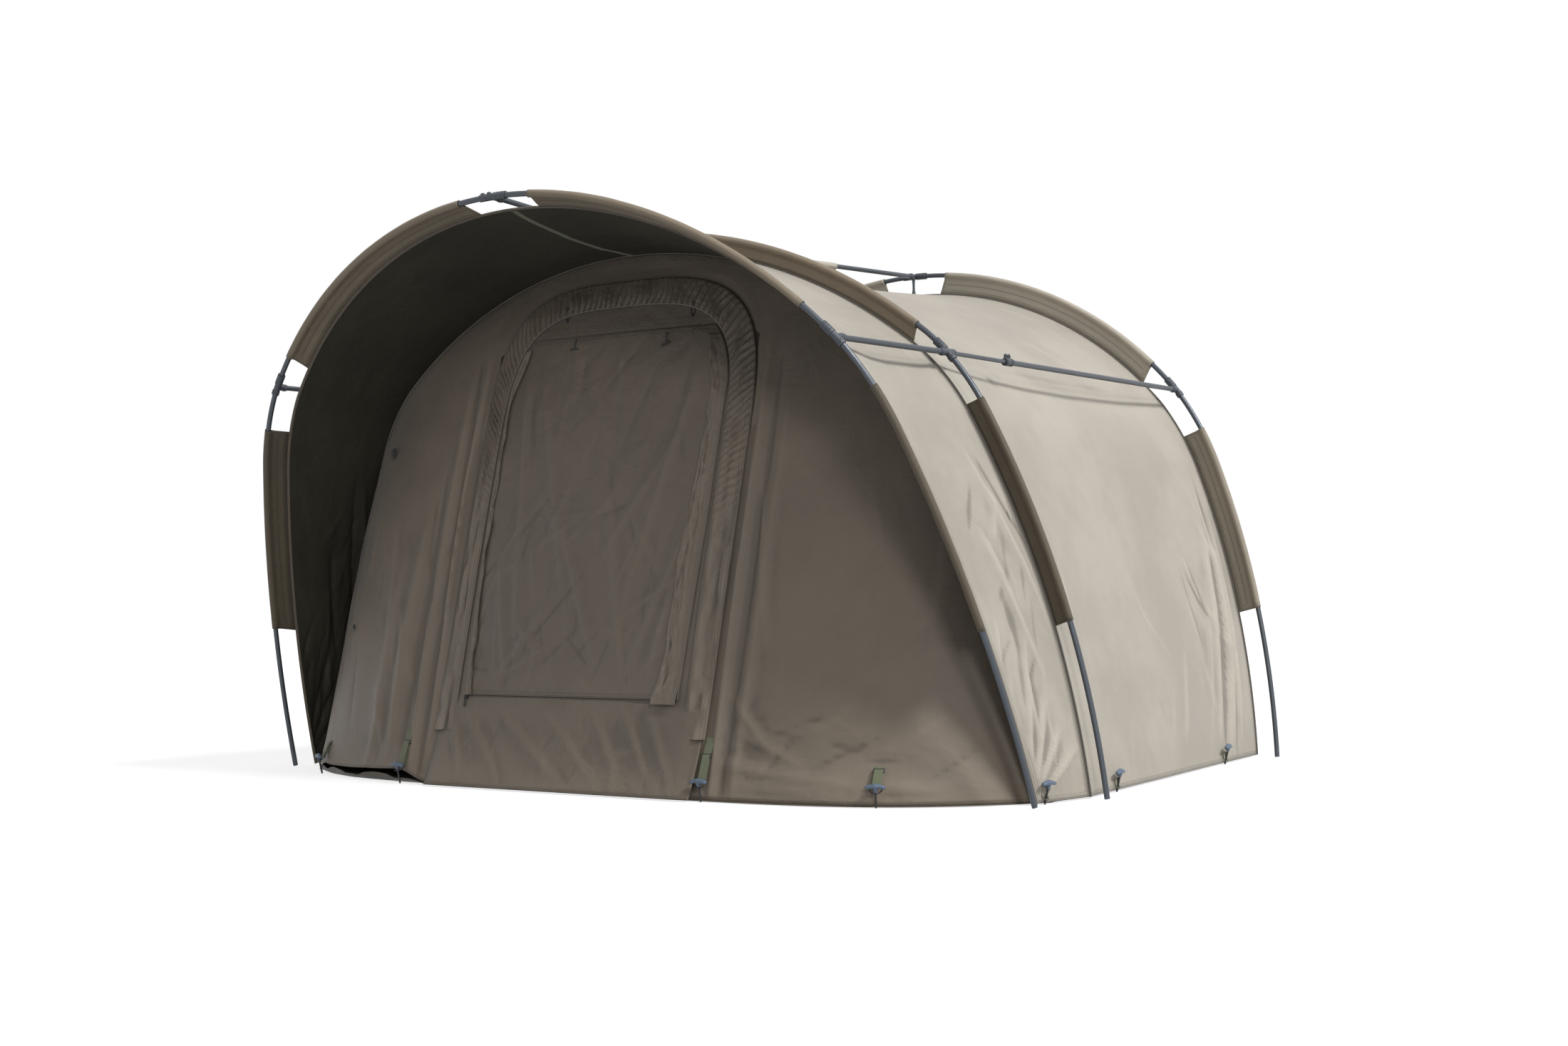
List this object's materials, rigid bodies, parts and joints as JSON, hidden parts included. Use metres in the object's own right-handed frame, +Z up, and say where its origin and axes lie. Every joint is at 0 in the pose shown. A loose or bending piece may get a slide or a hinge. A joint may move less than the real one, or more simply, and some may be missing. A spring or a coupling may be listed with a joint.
{
  "type": "bivvy tent",
  "caption": "Rounded fishing shelter with pole arches outside its cloth, a forward-leaning hood and a zipped door with a covered window.",
  "frame": {"origin": "on the ground, midway between the two feet of the middle arch, on the underside of the groundsheet", "axes": "+X to the right as seen from the front, +Y from the doorway to the back, +Z up"},
  "size_m": [2.9354, 2.3699, 1.6968],
  "materials": {
    "pole": "satin gunmetal",
    "fitting": "moulded, slightly glossy",
    "clamp": "moulded",
    "shell": "coated woven cloth, dusty khaki outside",
    "front": "coated woven cloth, dark olive brown",
    "sleeve": "coated woven cloth, brown",
    "ground": "dark coated sheet",
    "webbing": "olive webbing",
    "ring": "dark wire",
    "peg": "blue grey moulded head",
    "zip": "dark"
  },
  "bodies": {
    "frame": {"back_panel": "shell", "front_crown_hub": "fitting", "front_leg_left": "pole", "front_leg_right": "pole", "front_panel": "front", "front_pole_sleeves": "sleeve", "front_ridge_bar": "pole", "front_roof_pole_left": "pole", "front_roof_pole_right": "pole", "front_shoulder_joint_left": "fitting", "front_shoulder_joint_right": "fitting", "front_side_bar_left": "pole", "front_side_bar_right": "pole", "groundsheet": "ground", "hood_canopy": "shell", "inner_strap_left_ring": "ring", "inner_strap_left_webbing": "webbing", "inner_strap_right_ring": "ring", "inner_strap_right_webbing": "webbing", "main_canopy": "shell", "middle_crown_hub": "fitting", "middle_leg_left": "pole", "middle_leg_right": "pole", "middle_pole_sleeves": "sleeve", "middle_roof_pole_left": "pole", "middle_roof_pole_right": "pole", "middle_shoulder_joint_left": "fitting", "middle_shoulder_joint_right": "fitting", "outer_strap_left_ring": "ring", "outer_strap_left_webbing": "webbing", "outer_strap_right_ring": "ring", "outer_strap_right_webbing": "webbing", "rear_crown_hub": "fitting", "rear_leg_left": "pole", "rear_leg_right": "pole", "rear_pole_sleeves": "sleeve", "rear_ridge_bar": "pole", "rear_roof_pole_left": "pole", "rear_roof_pole_right": "pole", "rear_shoulder_joint_left": "fitting", "rear_shoulder_joint_right": "fitting", "ridge_sleeve": "sleeve", "tension_bar_outer_left": "pole", "tension_bar_outer_right": "pole"},
    "door": {"door_panel": "front", "door_storm_flap": "front"},
    "window_cover": {"window_cover": "front"},
    "window_zip_slider": {"window_zip_slider": "zip"},
    "tension_bar_inner_left": {"tension_bar_inner_left": "pole"},
    "tension_bar_inner_right": {"tension_bar_inner_right": "pole"},
    "tension_bar_clamp_left": {"tension_bar_clamp_left": "clamp"},
    "tension_bar_clamp_right": {"tension_bar_clamp_right": "clamp"},
    "inner_peg_left": {"inner_peg_left": "peg"},
    "outer_peg_left": {"outer_peg_left": "peg"},
    "inner_peg_right": {"inner_peg_right": "peg"},
    "outer_peg_right": {"outer_peg_right": "peg"},
    "front_hem_peg_right": {"front_hem_peg_right": "peg"},
    "middle_hem_peg_right": {"middle_hem_peg_right": "peg"},
    "rear_hem_peg_right": {"rear_hem_peg_right": "peg"}
  },
  "joints": [
    {"name": "door_hinge", "type": "hinge", "parent": "frame", "child": "door", "pos_m": [0, -0.2172, 1.5018], "axis": [-1, 0, 0], "range_deg": [0, 60]},
    {"name": "window_cover_hinge", "type": "hinge", "parent": "door", "child": "window_cover", "pos_m": [0, -0.2595, 1.3448], "axis": [-1, 0, 0], "range_deg": [0, 20]},
    {"name": "window_zip", "type": "slide", "parent": "door", "child": "window_zip_slider", "axis": [1, 0, 0], "range_m": [0, 0.79]},
    {"name": "tension_bar_telescope_left", "type": "slide", "parent": "frame", "child": "tension_bar_inner_left", "axis": [0.0369, 0.9993, -0.0015], "range_m": [0, 0.3]},
    {"name": "tension_bar_clamp_turn_left", "type": "hinge", "parent": "frame", "child": "tension_bar_clamp_left", "pos_m": [-1.0599, 0.1923, 1.2166], "axis": [-0.0369, -0.9993, 0.0015], "range_deg": [0, 45]},
    {"name": "tension_bar_telescope_right", "type": "slide", "parent": "frame", "child": "tension_bar_inner_right", "axis": [-0.0369, 0.9993, -0.0015], "range_m": [0, 0.3]},
    {"name": "tension_bar_clamp_turn_right", "type": "hinge", "parent": "frame", "child": "tension_bar_clamp_right", "pos_m": [1.0599, 0.1923, 1.2166], "axis": [-0.0369, 0.9993, -0.0015], "range_deg": [0, 45]},
    {"name": "inner_peg_left_pull", "type": "slide", "parent": "frame", "child": "inner_peg_left", "axis": [-0.023, -0.2066, 0.9782], "range_m": [0, 0.12]},
    {"name": "outer_peg_left_pull", "type": "slide", "parent": "frame", "child": "outer_peg_left", "axis": [-0.1215, -0.1687, 0.9781], "range_m": [0, 0.12]},
    {"name": "inner_peg_right_pull", "type": "slide", "parent": "frame", "child": "inner_peg_right", "axis": [0.0115, -0.2076, 0.9781], "range_m": [0, 0.12]},
    {"name": "outer_peg_right_pull", "type": "slide", "parent": "frame", "child": "outer_peg_right", "axis": [0.0791, -0.1923, 0.9781], "range_m": [0, 0.12]},
    {"name": "front_hem_peg_right_pull", "type": "slide", "parent": "frame", "child": "front_hem_peg_right", "axis": [0.264, -0.0467, 0.9634], "range_m": [0, 0.12]},
    {"name": "middle_hem_peg_right_pull", "type": "slide", "parent": "frame", "child": "middle_hem_peg_right", "axis": [0.2098, 0.0205, 0.9775], "range_m": [0, 0.12]},
    {"name": "rear_hem_peg_right_pull", "type": "slide", "parent": "frame", "child": "rear_hem_peg_right", "axis": [0.2329, 0.0227, 0.9722], "range_m": [0, 0.12]}
  ]
}
